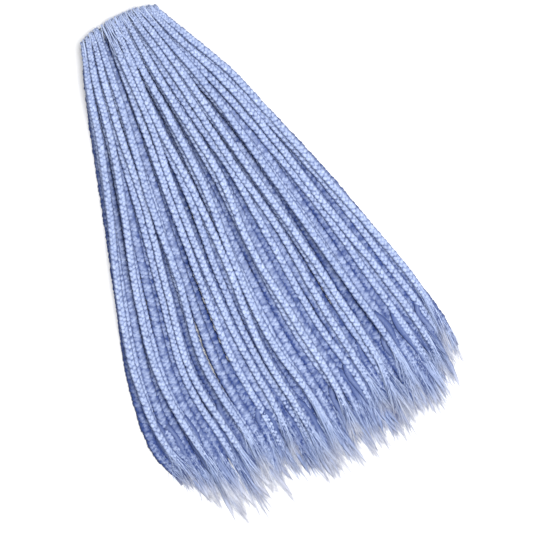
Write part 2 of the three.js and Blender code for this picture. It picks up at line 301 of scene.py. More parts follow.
class BraidRoute:
    """The line that a braid follows from its loop to its tip, read from its solid's sections."""

    def __init__(self, node):
        points, steps = step_counts(node, True)
        self.loop = points[steps > SECTION_RINGS + 1].mean(0)
        rings = [points[steps == k] for k in range(SECTION_RINGS, 0, -1)]
        if any(len(ring) != SECTION_CORNERS for ring in rings):
            raise RuntimeError(f"{node}: a section of the solid isn't where the look expects it")
        centres = np.array([ring.mean(0) for ring in rings])
        toward = centres[0] - self.loop
        toward[0] = 0.0
        root = self.loop + unit(toward) * np.linalg.norm(rings[0] - centres[0], axis=1).max() * 1.6
        tip = points[steps == 0][0]
        line = np.vstack([root, centres, tip])
        self.knots = np.r_[0.0, np.cumsum(np.linalg.norm(np.diff(line, axis=0), axis=1))]
        self.line = line
        widths, heights = [], []
        for k, ring in enumerate(rings):
            way = line[min(k + 3, len(line) - 1)] - line[k + 1]
            across = unit(np.array([-way[1], way[0], 0.0]))
            off = ring - centres[k]
            widths.append(np.abs(off @ across).max())
            rest = off - np.outer(off @ across, across)
            heights.append(np.linalg.norm(rest, axis=1).max())
        self.half_width = np.r_[widths[0], widths, 0.0]
        self.half_height = np.r_[heights[0], heights, 0.0]
        self.plait_end = self.knots[-3]
        self.end = self.knots[-1]
        self.outermost = np.sign(tip[0]) if abs(tip[0]) > OUTER_TIP else 0
        self.longer = LONGER_SHARE if -OUTER_TIP < tip[0] < LONGER_SIDE else 0.0

    def places(self, lengths):
        """Points on the line, and the directions along it, across it and out of it."""
        inside = np.clip(lengths, 0.0, self.end)
        beyond = (lengths - inside)[:, None]
        along = unit(self._step(inside, 0.0015))
        middle = self._middle(inside) + beyond * along
        way = self._step(np.maximum(inside, self.knots[3]), 0.02)
        across = unit(np.stack([-way[:, 1], way[:, 0], 0 * way[:, 0]], axis=1))
        across = unit(across - (across * along).sum(1, keepdims=True) * along)
        return middle, along, across, np.cross(along, across)

    def _middle(self, lengths):
        inside = np.clip(lengths, 0.0, self.end)
        return np.stack(
            [follow(self.knots, self.line[:, k], inside, k == 2) for k in range(3)], axis=1
        )

    def _step(self, lengths, reach):
        return self._middle(lengths + reach) - self._middle(lengths - reach)

    def halves(self, lengths):
        """Half the plait's width and thickness at these lengths."""
        inside = np.clip(lengths, 0.0, self.end)
        return (
            follow(self.knots, self.half_width, inside, True),
            follow(self.knots, self.half_height, inside, True),
        )


class Skin:
    """Collects tubes of hair or cord and makes one mesh of them."""

    def __init__(self):
        self.count = 0
        self.points, self.quads, self.triangles = [], [], []
        self.quad_maps, self.triangle_maps = [], []
        self.masks = {"painted_shade": [], "tone": [], "fade": []}

    def tube(self, rings, lengths, closed=False, painted_shade=0.0, tone=0.5, fade=0.0, turns=1.0):
        """Adds a tube through rings of points, shape (rings, sides, 3). Its ends close to a point."""
        rows, sides, _ = rings.shape
        base = self.count
        rings = np.maximum(rings, (-np.inf, -np.inf, FLOOR_GAP))
        self.points.append(rings.reshape(-1, 3))
        self.count += rows * sides
        row = np.arange(rows if closed else rows - 1)
        side = np.arange(sides)
        i, j = (grid.ravel() for grid in np.meshgrid(row, side, indexing="ij"))
        next_i, next_j = (i + 1) % rows, (j + 1) % sides
        corners = [i * sides + j, i * sides + next_j, next_i * sides + next_j, next_i * sides + j]
        self.quads.append(np.stack(corners, axis=1) + base)
        after = np.r_[lengths[1:], lengths[-1] + (lengths[-1] - lengths[-2])]
        u, next_u = turns * j / sides, turns * (j + 1) / sides
        v, next_v = lengths[i], after[i]
        flat = np.stack([u, v, next_u, v, next_u, next_v, u, next_v], axis=1)
        self.quad_maps.append(flat.reshape(-1, 2))
        for name, value in (("painted_shade", painted_shade), ("tone", tone), ("fade", fade)):
            self.masks[name].append(np.broadcast_to(value, (rows, sides)).ravel())
        if not closed:
            self._cap(rings[0], base, lengths[0], side[::-1], painted_shade, tone, fade, 0, turns)
            last = base + (rows - 1) * sides
            self._cap(rings[-1], last, lengths[-1], side, painted_shade, tone, fade, -1, turns)

    def _cap(self, ring, base, length, order, painted_shade, tone, fade, row, turns):
        middle = self.count
        self.points.append(ring.mean(0)[None])
        self.count += 1
        sides = len(ring)
        for name, value in (("painted_shade", painted_shade), ("tone", tone), ("fade", fade)):
            whole = np.broadcast_to(value, (2, sides)) if np.ndim(value) == 0 else value
            self.masks[name].append(np.broadcast_to(whole, (len(whole), sides))[row].mean()[None])
        following = np.roll(order, -1)
        fan = np.stack([base + order, base + following, np.full(sides, middle)], axis=1)
        self.triangles.append(fan)
        u = turns * order / sides
        flat = np.stack([u, u * 0 + length, u, u * 0 + length, u, u * 0 + length], axis=1)
        self.triangle_maps.append(flat.reshape(-1, 2))

    def ribbons(self, lines, half_sides, painted_shade, tone, fade):
        """Adds one narrow ribbon for each line of points, shape (hairs, points, 3)."""
        hairs, rows, _ = lines.shape
        edges = np.stack([lines - half_sides, lines + half_sides], axis=2)
        edges = np.maximum(edges, (-np.inf, -np.inf, FLOOR_GAP))
        self.points.append(edges.reshape(-1, 3))
        hair, row = (grid.ravel() for grid in np.mgrid[0:hairs, 0 : rows - 1])
        first = self.count + 2 * (hair * rows + row)
        self.count += 2 * hairs * rows
        self.quads.append(np.stack([first, first + 1, first + 3, first + 2], axis=1))
        spans = np.linalg.norm(np.diff(lines, axis=1), axis=2)
        lengths = np.concatenate([np.zeros((hairs, 1)), np.cumsum(spans, axis=1)], axis=1)
        v, next_v = lengths[hair, row], lengths[hair, row + 1]
        u = (hair * 0.618) % 1.0
        flat = np.stack([u, v, u + 0.02, v, u + 0.02, next_v, u, next_v], axis=1)
        self.quad_maps.append(flat.reshape(-1, 2))
        self.masks["painted_shade"].append(np.repeat(np.broadcast_to(painted_shade, hairs), 2 * rows))
        self.masks["tone"].append(np.repeat(tone, 2 * rows))
        self.masks["fade"].append(np.repeat(fade.ravel(), 2))

    def build(self, name, material):
        """Makes the object, smooth shaded, with the strand map and the masks for its material."""
        points = np.concatenate(self.points).astype(np.float32)
        quads = np.concatenate(self.quads)
        triangles = np.concatenate([np.zeros((0, 3), int), *self.triangles])
        maps = self.quad_maps + self.triangle_maps
        mesh = bpy.data.meshes.new(name)
        mesh.vertices.add(len(points))
        mesh.vertices.foreach_set("co", points.ravel())
        corners = np.concatenate([quads.ravel(), triangles.ravel()]).astype(np.int32)
        mesh.loops.add(len(corners))
        mesh.loops.foreach_set("vertex_index", corners)
        mesh.polygons.add(len(quads) + len(triangles))
        first = 4 * len(quads)
        starts = np.r_[np.arange(len(quads)) * 4, first + np.arange(len(triangles)) * 3]
        mesh.polygons.foreach_set("loop_start", starts.astype(np.int32))
        mesh.update(calc_edges=True)
        mesh.shade_smooth()
        strand_map = mesh.uv_layers.new(name="Strand")
        strand_map.uv.foreach_set("vector", np.concatenate(maps).astype(np.float32).ravel())
        for mask, values in self.masks.items():
            layer = mesh.attributes.new(mask, "FLOAT", "POINT")
            layer.data.foreach_set("value", np.concatenate(values).astype(np.float32))
        if mesh.validate():
            raise RuntimeError(f"{name}: the mesh had faults")
        mesh.materials.append(material)
        piece = bpy.data.objects.new(name, mesh)
        bpy.context.scene.collection.objects.link(piece)
        return piece


def tube_rings(middle, along, out, half_width, half_height, sides):
    """Rings of points round a line; out is roughly the direction of the half height."""
    up = unit(out - (out * along).sum(1, keepdims=True) * along)
    beside = np.cross(up, along)
    angle = 2 * np.pi * np.arange(sides) / sides
    wide = half_width[:, None, None] * np.cos(angle)[None, :, None] * beside[:, None]
    high = half_height[:, None, None] * np.sin(angle)[None, :, None] * up[:, None]
    return middle[:, None] + wide + high


def line_direction(middle):
    """The direction along a line of points."""
    return unit(np.gradient(middle, axis=0))


def plait_phase(route, settings, chance):
    """The plait's phase against length: short stitches where it is slim, and none in the brush."""
    lengths = np.linspace(0.0, route.end, 1200)
    width, _ = route.halves(lengths)
    widest = route.half_width.max()
    stitch = settings.stitch_length * np.clip(width / widest, 0.08, 1.0) ** 0.6
    stitch = stitch * (0.72 + 0.28 * smooth(lengths / 0.12))
    stitch = stitch * (1 + 0.16 * drift(chance, lengths, 0.011))
    past = np.clip((lengths - route.plait_end) / (route.end - route.plait_end), 0.0, 1.0)
    rate = 2 * np.pi / stitch * (1 - smooth(past / 0.8))
    phase = np.r_[0.0, np.cumsum((rate[1:] + rate[:-1]) / 2 * np.diff(lengths))]
    return lengths, phase


def add_plait(skin, route, settings, chance, below, shaded, loose_neck):
    """Adds the three strands of a plait, from the loop to where they thin out in the brush."""
    steps_per_turn, sides = (7, 6) if below else (10, 8)
    fullness = settings.fullness_below if below else settings.fullness
    lengths, phase = plait_phase(route, settings, chance)
    span = route.end - route.plait_end
    core_end = route.plait_end + span * chance.uniform(0.6, 0.8)
    turning = np.interp(route.plait_end, lengths, phase)
    count = int(turning / (2 * np.pi) * steps_per_turn)
    places = np.interp(np.linspace(0.0, turning, count), phase, lengths)
    places = np.r_[places[:-1], np.linspace(route.plait_end, core_end, 22)]
    angle = np.interp(places, lengths, phase)
    middle, along, across, out = route.places(places)
    width, height = route.halves(places)
    middle = middle + (0.06 * width * drift(chance, places, 0.012))[:, None] * across
    past = np.clip((places - route.plait_end) / (core_end - route.plait_end), 0.0, 1.0)
    thin = (np.sqrt(1 - past**2) * 0.92 + 0.08) * (1 - 0.25 * past)
    woven = smooth((places - loose_neck) / 0.008)
    near_head = 1 - smooth(places / 0.07)
    if not below:
        thin = thin * (1 - 0.12 * near_head)
    offset = chance.uniform(0, 2 * np.pi)
    braid_tone = chance.normal(0.5, 0.07)
    for strand in range(3):
        turn = angle + offset + strand * 2 * np.pi / 3 + 0.4 * drift(chance, places, 0.007)
        reach = settings.swing * (1 + 0.18 * drift(chance, places, 0.008))
        rise = settings.lift * (1 + 0.22 * drift(chance, places, 0.006))
        swing = (reach * np.sin(turn) * woven + 0.72 * (strand - 1) * (1 - woven)) * width
        lift = -rise * height * np.sin(2 * turn) * woven
        centre = middle + swing[:, None] * across + lift[:, None] * out
        uneven = 1 + 0.15 * drift(chance, places, 0.0035)
        pressed = 1 + (fullness - 1) * smooth(2 * places / route.plait_end - 1)
        half_width = (fullness - settings.swing) * width * thin * uneven * pressed
        half_width = half_width * (0.6 + 0.4 * woven)
        half_height = (1.05 - settings.lift) * height * thin * uneven
        direction = line_direction(centre)
        rings = tube_rings(centre, direction, out, half_width, half_height, sides)
        from_middle = rings - middle[:, None]
        sideways = np.abs((from_middle * across[:, None]).sum(2)) / width[:, None]
        outward = np.abs((from_middle * out[:, None]).sum(2)) / height[:, None]
        bulge = np.sqrt(sideways**2 + outward**2)
        # Painted shade: the strand darkens below the plait's middle, in the creases between stitches, on
        # the plait's flanks, where unplaited strands part, and evenly on lower layers
        underside_shade = smooth(0.55 - (from_middle * out[:, None]).sum(2) / height[:, None])
        between = (1.0 - bulge) / 0.6 * woven[:, None]
        beside = np.abs(((rings - centre[:, None]) * across[:, None]).sum(2)) / half_width[:, None]
        parting_shade = 0.9 * smooth((beside - 0.35) / 0.55) * (1 - woven[:, None])
        flank_shade = smooth((sideways - 0.62) / 0.3) * (0.75 + 0.25 * near_head[:, None])
        painted_shade = np.maximum.reduce([between, underside_shade, flank_shade, parting_shade])
        painted_shade = np.clip(painted_shade + shaded, 0.0, 1.0)
        tone = braid_tone + 0.1 * chance.standard_normal() + 0.16 * drift(chance, places, 0.005)
        tone = tone + 0.15 * (1 - woven)
        tone = np.broadcast_to(np.clip(tone, 0.0, 1.0)[:, None], painted_shade.shape)
        fade = np.broadcast_to((0.4 * past**3)[:, None], painted_shade.shape)
        skin.tube(rings, places, painted_shade=painted_shade, tone=tone, fade=fade)


def add_hairs(skin, route, places, aside, above, width, painted_shade, tone, fade, chance):
    """Adds hairs that run along the route, offset to the side and out of it, row by row."""
    hairs, rows = places.shape
    parts = route.places(places.ravel())
    middle, along, across, out = (part.reshape(hairs, rows, 3) for part in parts)
    lines = middle + aside[:, :, None] * across + above[:, :, None] * out
    roll = chance.normal(0, 0.6, hairs)[:, None, None]
    share = np.linspace(0.0, 1.0, rows)
    half = width[:, None] / 2 * (1 - 0.8 * share**1.5)
    flat = np.cos(roll) * across + np.sin(roll) * out
    lines[:, :, 2] = np.maximum(lines[:, :, 2], half)
    skin.ribbons(lines, half[:, :, None] * flat, painted_shade, tone, fade)


def draw_clumps(route, chance, count):
    """Where the clumps of a brush start and end across the plait, how long and how light each is."""
    aim = chance.uniform(-2.6, 2.6, count)
    if route.outermost:
        aim = 0.5 * aim - 1.2 * route.outermost
    return {
        "start": chance.uniform(-0.6, 0.6, (2, count)),
        "aim": aim,
        "rise": chance.uniform(-0.5, 0.5, count),
        "reach": chance.normal(0.84, 0.16, count).clip(0.45, 1.06) + route.longer,
        "tone": chance.uniform(0.0, 1.0, count),
    }


def add_locks(skin, route, clumps, below, lowest, wide_count, chance):
    """Adds the tapering locks that the plait splits into, one for each clump, with painted shade on
    their undersides and more on wide locks and lower layers.
    """
    rows, sides = 12, 8
    span = route.end - route.plait_end
    share = np.linspace(0.0, 1.0, rows)
    outermost = route.outermost
    for k, reach in enumerate(clumps["reach"]):
        under = k < wide_count
        soonest, latest = (0.6, 1.6) if lowest else (0.3, 0.8)
        early = chance.uniform(soonest, latest) if under else chance.uniform(-0.1, 0.25)
        start = route.plait_end - span * early
        finish = route.plait_end + span * reach * (0.88 if under else 1.0)
        places = np.linspace(start, finish, rows)
        middle, along, across, out = route.places(places)
        width, height = route.halves(np.full(rows, min(start, route.plait_end)))
        bend = share ** chance.uniform(1.1, 1.8)
        away = chance.uniform(1.2, 2.6) * (k % 2 * 2 - 1) if under else clumps["start"][0, k]
        aim = clumps["aim"][k]
        if lowest and k < 2:
            away = aim = BESIDE_PLAIT * (2 * k - 1)
        if under and outermost:
            away, aim = -outermost * abs(away), -outermost * abs(aim)
        side = width * (away * (1 - bend) + aim * bend)
        side = side * smooth(4 * share + 0.3) if under else side
        rise = height * (clumps["start"][1, k] * (1 - bend) + clumps["rise"][k] * bend)
        centre = middle + side[:, None] * across + rise[:, None] * out
        blunt, slope = (3, 0.2) if under else (2, 0.45)
        taper = np.sqrt(1 - share**blunt) * (1 - slope * share) + 0.03
        half_width = (0.85 if under else 0.27) * width * taper
        half_width = half_width * (1 + 0.25 * drift(chance, places, 0.006))
        half_height = 0.3 * height * taper
        centre[:, 2] = np.maximum(centre[:, 2], half_height + 2 * FLOOR_GAP)
        rings = tube_rings(centre, line_direction(centre), out, half_width, half_height, sides)
        upward = np.sin(2 * np.pi * np.arange(sides) / sides)[None]
        past = np.clip((places - route.plait_end) / span, 0.0, 1.0)[:, None]
        # Painted shade: each lock is darker on its underside and less so toward the tip; wide locks
        # carry more, fading along them, and locks of lower layers a little more
        shade_share = (0.95 - 0.9 * smooth(upward)) * (1 - 0.6 * past**2)
        under_lock_shade = 0.68 - 0.28 * smooth(3 * past)
        shade_share = shade_share + (under_lock_shade if under else 0.25 * below)
        shade_share = np.clip(shade_share, 0.0, 1.0)
        fade = np.broadcast_to(0.95 * smooth((past - 0.48) / 0.5), (rows, sides))
        skin.tube(rings, places, painted_shade=shade_share, tone=0.8 * clumps["tone"][k], fade=fade)


def add_brush(skin, route, settings, clumps, chance):
    """Adds the loose hairs of the unplaited end, most along its clumps and some straying."""
    hairs, rows = settings.brush_hairs, 7
    span = route.end - route.plait_end
    clump = chance.integers(0, len(clumps["reach"]), hairs)
    stray = chance.uniform(0, 1, hairs) < 0.15
    start = route.plait_end + span * chance.uniform(-0.3, 0.42, hairs)
    reach = np.where(stray, chance.uniform(0.8, 1.25, hairs), clumps["reach"][clump])
    finish = route.plait_end + span * (reach + chance.uniform(-0.3, 0.08, hairs))
    finish = np.maximum(finish, start + 0.12 * span)
    share = np.linspace(0.0, 1.0, rows)[None]
    places = start[:, None] + (finish - start)[:, None] * share
    width, height = (half[:, None] for half in route.halves(np.minimum(start, route.plait_end)))
    around = chance.uniform(0, 2 * np.pi, hairs)[:, None]
    radius = np.sqrt(chance.uniform(0.05, 0.9, hairs))[:, None]
    wander = chance.normal(0, 1, (2, hairs)).clip(-2, 2) * np.where(stray, 1.8, 0.25)
    wander = wander * settings.stray_reach
    aim_side = clumps["aim"][clump][:, None] * width + wander[0][:, None]
    aim_rise = clumps["rise"][clump][:, None] * height + 0.15 * wander[1][:, None]
    bend = share ** chance.uniform(1.0, 2.0, hairs)[:, None]
    curl = chance.uniform(0.0002, 0.001, hairs)[:, None] * share * np.sin(
        share * chance.uniform(3, 8, hairs)[:, None] + around
    )
    aside = radius * np.cos(around) * width * (1 - bend) + aim_side * bend + curl
    above = radius * np.sin(around) * height * (1 - bend) + aim_rise * bend
    thickness = settings.hair_width * chance.uniform(0.6, 1.4, hairs)
    tone = np.clip(clumps["tone"][clump] + chance.normal(0, 0.3, hairs), 0, 1)
    fade = smooth(((places - route.plait_end) / span - 0.45) / 0.5)
    # About 45% of the brush hairs carry full painted shade
    painted_shade = np.where(chance.uniform(0, 1, hairs) < 0.45, 1.0, 0.0)
    add_hairs(skin, route, places, aside, above, thickness, painted_shade, tone, fade, chance)


def add_fuzz(skin, route, settings, below, chance):
    """Adds short hairs that stand off the plait, thickest near the loop."""
    hairs, rows = settings.fuzz_hairs, 4
    start = route.plait_end * chance.uniform(0, 1, hairs) ** 1.5
    share = np.linspace(0.0, 1.0, rows)[None]
    places = start[:, None] + chance.uniform(0.003, 0.009, hairs)[:, None] * share
    halves = route.halves(places.ravel())
    width, height = (half.reshape(hairs, rows) for half in halves)
    angle = chance.uniform(-0.2, 1.2, hairs)[:, None] * np.pi
    stand = 0.75 + (chance.uniform(0.2, 0.7, hairs)[:, None]) * share
    aside = stand * width * np.cos(angle)
    above = stand * height * np.sin(angle)
    thickness = np.full(hairs, settings.hair_width * 0.5)
    tone = chance.uniform(0.4, 1.0, hairs)
    fade = np.full((hairs, rows), 0.1)
    # Fuzz on the lower layers carries painted shade, the rest a little
    painted_shade = 0.6 if below else 0.1
    add_hairs(skin, route, places, aside, above, thickness, painted_shade, tone, fade, chance)


def over_the_pile(routes, between, lengths):
    """Points above neighbouring braids, between counting from the first braid to the last."""
    first = np.clip(between.astype(int), 0, len(routes) - 2)
    share = (between - first)[:, None]
    point, lift = np.zeros((len(lengths), 3)), np.zeros((len(lengths), 3))
    across = np.zeros((len(lengths), 3))
    for k, length in enumerate(lengths):
        near = [routes[first[k]], routes[first[k] + 1]]
        parts = [route.places(np.array([length])) for route in near]
        height = sum(route.halves(np.array([length]))[1][0] for route in near) / 2
        middle, across[k], out = (
            parts[0][j][0] * (1 - share[k]) + parts[1][j][0] * share[k] for j in (0, 2, 3)
        )
        crest = 0.7 + 0.5 * np.cos(np.pi * share[k]) ** 2
        point[k], lift[k] = middle + height * crest * out, out
    return point, unit(across), unit(lift)


def add_head_strands(skin, routes, chance):
    """Adds smooth strands that come over the head's edge and lie between and across the plaits."""
    notch = np.argmax(np.diff([route.loop[0] for route in routes]))
    plans = [(notch + 0.9, notch + 1.5, 0.044), (notch + 1.1, notch + 2.6, 0.052)]
    plans += [(notch + 0.55, notch + 0.75, 0.034), (notch + 1.6, notch + 3.4, 0.040)]
    for k in range(len(routes) - 1):
        for _ in range(2):
            start = k + chance.uniform(0.25, 0.75)
            plans.append((start, start + chance.uniform(-0.25, 0.35), chance.uniform(0.010, 0.028)))
    for start, finish, length in plans:
        lengths = np.linspace(0.0, length, 14)
        share = smooth(lengths / length)
        between = np.clip(start + (finish - start) * share, 0.0, len(routes) - 1.001)
        line, across, lift = over_the_pile(routes, between, lengths)
        line = line - (0.0007 * share**4)[:, None] * lift
        half = 0.00055 * (1 - 0.5 * share**2) * chance.uniform(0.75, 1.3)
        rings = tube_rings(line, line_direction(line), lift, half, half, 7)
        skin.tube(rings, lengths, tone=float(chance.uniform(0.55, 1.0)))


def add_head_fuzz(skin, routes, settings, chance):
    """Adds fine hairs that stand off the head's edge."""
    hairs, rows = 35 * len(routes), 5
    between = chance.uniform(0, len(routes) - 1.001, hairs)
    starts = chance.uniform(0.0, 1.0, hairs) ** 2 * 0.02
    point, across, lift = over_the_pile(routes, between, starts)
    ahead = np.cross(across, lift)
    share = np.linspace(0.0, 1.0, rows)[None, :, None]
    sideways = chance.normal(0, 1, (hairs, 1)) * across
    way = unit(sideways + chance.normal(0.9, 0.8, (hairs, 1)) * ahead)
    length = chance.uniform(0.002, 0.0055, (hairs, 1, 1))
    rise = chance.uniform(-0.1, 0.45, (hairs, 1, 1))
    arch = rise * share * (1.4 - share) * lift[:, None]
    lines = point[:, None] + length * (share * way[:, None] + arch)
    side = unit(np.cross(way, lift))[:, None]
    half = settings.hair_width * 0.3 * (1 - 0.7 * share)
    tone = chance.uniform(0.3, 1.0, hairs)
    # The fine hairs carry a little painted shade
    skin.ribbons(lines, half * side, 0.1, tone, np.full((hairs, rows), 0.15))


def add_loop(skin, route, chance):
    """Adds the crochet loop, a smooth ring of hair round the tie."""
    steps, sides = 28, 8
    half = route.half_height[0] * 0.72
    mean = np.linalg.norm(route.line[0] - route.loop)
    angle = 2 * np.pi * np.arange(steps) / steps
    aside = np.array([0.0, 1.0, 0.0])
    upright = np.array([0.0, 0.0, 1.0])
    centre = route.loop + mean * (
        np.cos(angle)[:, None] * aside + np.sin(angle)[:, None] * upright
    )
    direction = unit(-np.sin(angle)[:, None] * aside + np.cos(angle)[:, None] * upright)
    outward = unit(centre - route.loop)
    halves = np.full(steps, half)
    rings = tube_rings(centre, direction, outward, halves, halves, sides)
    skin.tube(rings, angle * mean, closed=True, tone=float(chance.uniform(0.5, 0.9)))


def shader_group(name, sockets_in, sockets_out):
    """An empty shader group with named sockets, and its input and output nodes."""
    group = bpy.data.node_groups.new(name, "ShaderNodeTree")
    for direction, sockets in (("INPUT", sockets_in), ("OUTPUT", sockets_out)):
        for label, kind, value in sockets:
            socket = group.interface.new_socket(name=label, in_out=direction, socket_type=kind)
            if value is not None:
                socket.default_value = value
    return group, group.nodes.new("NodeGroupInput"), group.nodes.new("NodeGroupOutput")


def number(tree, operation, *values):
    """A math node fed with numbers or sockets; returns its result."""
    node = tree.nodes.new("ShaderNodeMath")
    node.operation = operation
    for socket, value in zip(node.inputs, values):
        if isinstance(value, (int, float)):
            socket.default_value = value
        else:
            tree.links.new(value, socket)
    return node.outputs[0]


def blend(tree, share, low, high, mode="MIX"):
    """A colour mix node; share, low and high are sockets, numbers or colours."""
    node = tree.nodes.new("ShaderNodeMix")
    node.data_type = "RGBA"
    node.blend_type = mode
    for key, value in zip(MIX_INPUTS, (share, low, high)):
        if isinstance(value, bpy.types.NodeSocket):
            tree.links.new(value, node.inputs[key])
        elif isinstance(value, (int, float)):
            node.inputs[key].default_value = value
        else:
            node.inputs[key].default_value = (*value, 1.0)
    return node.outputs[MIX_RESULT]


def attribute(tree, name):
    """The value of one of the mesh's masks."""
    node = tree.nodes.new("ShaderNodeAttribute")
    node.attribute_name = name
    return node.outputs["Fac"]


def hair_grain_group():
    """Fine lines that run along a strand: a value for colour and a height for bump."""
    group, given, made = shader_group(
        "Hair grain",
        [
            ("Strand map", "NodeSocketVector", None),
            ("Lines round", "NodeSocketFloat", 40.0),
            ("Lines along", "NodeSocketFloat", 220.0),
            ("Contrast", "NodeSocketFloat", 1.0),
        ],
        [("Grain", "NodeSocketFloat", None), ("Height", "NodeSocketFloat", None)],
    )
    split = group.nodes.new("ShaderNodeSeparateXYZ")
    group.links.new(given.outputs["Strand map"], split.inputs[0])
    join = group.nodes.new("ShaderNodeCombineXYZ")
    turn = number(group, "MULTIPLY", split.outputs[0], 2 * math.pi)
    radius = number(group, "DIVIDE", given.outputs["Lines round"], 2 * math.pi)
    around = number(group, "MULTIPLY", number(group, "COSINE", turn), radius)
    beside = number(group, "MULTIPLY", number(group, "SINE", turn), radius)
    along = number(group, "MULTIPLY", split.outputs[1], given.outputs["Lines along"])
    for socket, value in zip(join.inputs, (around, beside, along)):
        group.links.new(value, socket)
    noise = group.nodes.new("ShaderNodeTexNoise")
    noise.inputs["Scale"].default_value = 1.0
    noise.inputs["Detail"].default_value = 3.0
    noise.inputs["Roughness"].default_value = 0.6
    group.links.new(join.outputs[0], noise.inputs["Vector"])
    centred = number(group, "SUBTRACT", noise.outputs["Fac"], 0.5)
    grain = number(group, "ADD", number(group, "MULTIPLY", centred, given.outputs["Contrast"]), 0.5)
    group.links.new(grain, made.inputs["Grain"])
    group.links.new(noise.outputs["Fac"], made.inputs["Height"])
    return group


def strand_shade_group():
    """Hair colour from where it lies on its strand, how much painted shade it carries, and how near the
    tip.
    """
    group, given, made = shader_group(
        "Strand shade",
        [
            ("Grain", "NodeSocketFloat", 0.5),
            ("Painted shade", "NodeSocketFloat", 0.0),
            ("Tone", "NodeSocketFloat", 0.5),
            ("Fade", "NodeSocketFloat", 0.0),
            ("Light", "NodeSocketColor", None),
            ("Middle", "NodeSocketColor", None),
            ("Shade colour", "NodeSocketColor", None),
            ("Tip", "NodeSocketColor", None),
        ],
        [("Colour", "NodeSocketColor", None), ("Roughness", "NodeSocketFloat", None)],
    )
    mixed = number(group, "ADD", number(group, "MULTIPLY", given.outputs["Grain"], 1.7), -0.85)
    lit = number(group, "ADD", mixed, number(group, "MULTIPLY", given.outputs["Tone"], 1.1))
    lit = number(group, "MAXIMUM", number(group, "MINIMUM", lit, 1.0), 0.0)
    body = blend(group, lit, given.outputs["Middle"], given.outputs["Light"])
    # Painted shade: the shade mask mixes the body colour toward the shade colour
    shade_share = number(group, "POWER", given.outputs["Painted shade"], 1.05)
    shaded_body = blend(group, number(group, "MULTIPLY", shade_share, 0.93), body, given.outputs["Shade colour"])
    dullness = number(group, "SUBTRACT", 1.0, given.outputs["Tone"])
    tip_share = number(group, "MULTIPLY", dullness, 0.75)
    tip = blend(group, tip_share, (1, 1, 1), (0.34, 0.36, 0.48))
    tinted = blend(group, 1.0, tip, given.outputs["Tip"], "MULTIPLY")
    faded = blend(group, given.outputs["Fade"], shaded_body, tinted)
    group.links.new(faded, made.inputs["Colour"])
    rough = number(group, "ADD", number(group, "MULTIPLY", given.outputs["Grain"], 0.25), 0.45)
    group.links.new(rough, made.inputs["Roughness"])
    return group


def fresh_material(name):
    """A material with only a Principled BSDF, and its tree and shader."""
    material = bpy.data.materials.new(name)
    material.use_nodes = True
    tree = material.node_tree
    shader = next(node for node in tree.nodes if node.type == "BSDF_PRINCIPLED")
    return material, tree, shader


def add_bump(tree, shader, height, strength, distance):
    """Feeds the shader's normal from a height."""
    bump = tree.nodes.new("ShaderNodeBump")
    bump.inputs["Strength"].default_value = strength
    bump.inputs["Distance"].default_value = distance
    tree.links.new(height, bump.inputs["Height"])
    tree.links.new(bump.outputs[0], shader.inputs["Normal"])


def place_grain(tree, group, lines_round, lines_along, contrast):
    """Places the grain group in a material with its own values."""
    strand_map = tree.nodes.new("ShaderNodeUVMap")
    strand_map.uv_map = "Strand"
    grain = tree.nodes.new("ShaderNodeGroup")
    grain.node_tree = group
    grain.inputs["Lines round"].default_value = lines_round
    grain.inputs["Lines along"].default_value = lines_along
    grain.inputs["Contrast"].default_value = contrast
    tree.links.new(strand_map.outputs[0], grain.inputs["Strand map"])
    return grain


def hair_material(settings):
    """Synthetic hair: grain along the strand, tufts, painted shade in creases, under and beside plaits
    and on lower layers, a soft sheen.
    """
    material, tree, shader = fresh_material("Plaited hair")
    group = hair_grain_group()
    grain = place_grain(tree, group, 40.0, 300.0, 1.4)
    tufts = place_grain(tree, group, 7.0, 520.0, 2.4)
    shade = tree.nodes.new("ShaderNodeGroup")
    shade.node_tree = strand_shade_group()
    mixed = number(tree, "ADD", grain.outputs["Grain"], tufts.outputs["Grain"])
    tree.links.new(number(tree, "MULTIPLY", mixed, 0.5), shade.inputs["Grain"])
    for socket, mask in (("Painted shade", "painted_shade"), ("Tone", "tone"), ("Fade", "fade")):
        tree.links.new(attribute(tree, mask), shade.inputs[socket])
    for socket, colour in (
        ("Light", settings.light_colour),
        ("Middle", settings.middle_colour),
        ("Shade colour", settings.shade_colour),
        ("Tip", settings.tip_colour),
    ):
        shade.inputs[socket].default_value = (*colour, 1.0)
    tree.links.new(shade.outputs["Colour"], shader.inputs["Base Color"])
    tree.links.new(shade.outputs["Roughness"], shader.inputs["Roughness"])
    shader.inputs["Specular IOR Level"].default_value = 0.18
    shader.inputs["Sheen Weight"].default_value = 0.08
    shader.inputs["Sheen Roughness"].default_value = 0.4
    shader.inputs["Sheen Tint"].default_value = (0.75, 0.8, 1.0, 1.0)
    tuft_height = number(tree, "MULTIPLY", tufts.outputs["Height"], 2.0)
    height = number(tree, "ADD", grain.outputs["Height"], tuft_height)
    add_bump(tree, shader, height, 0.8, 0.0005)
    return material


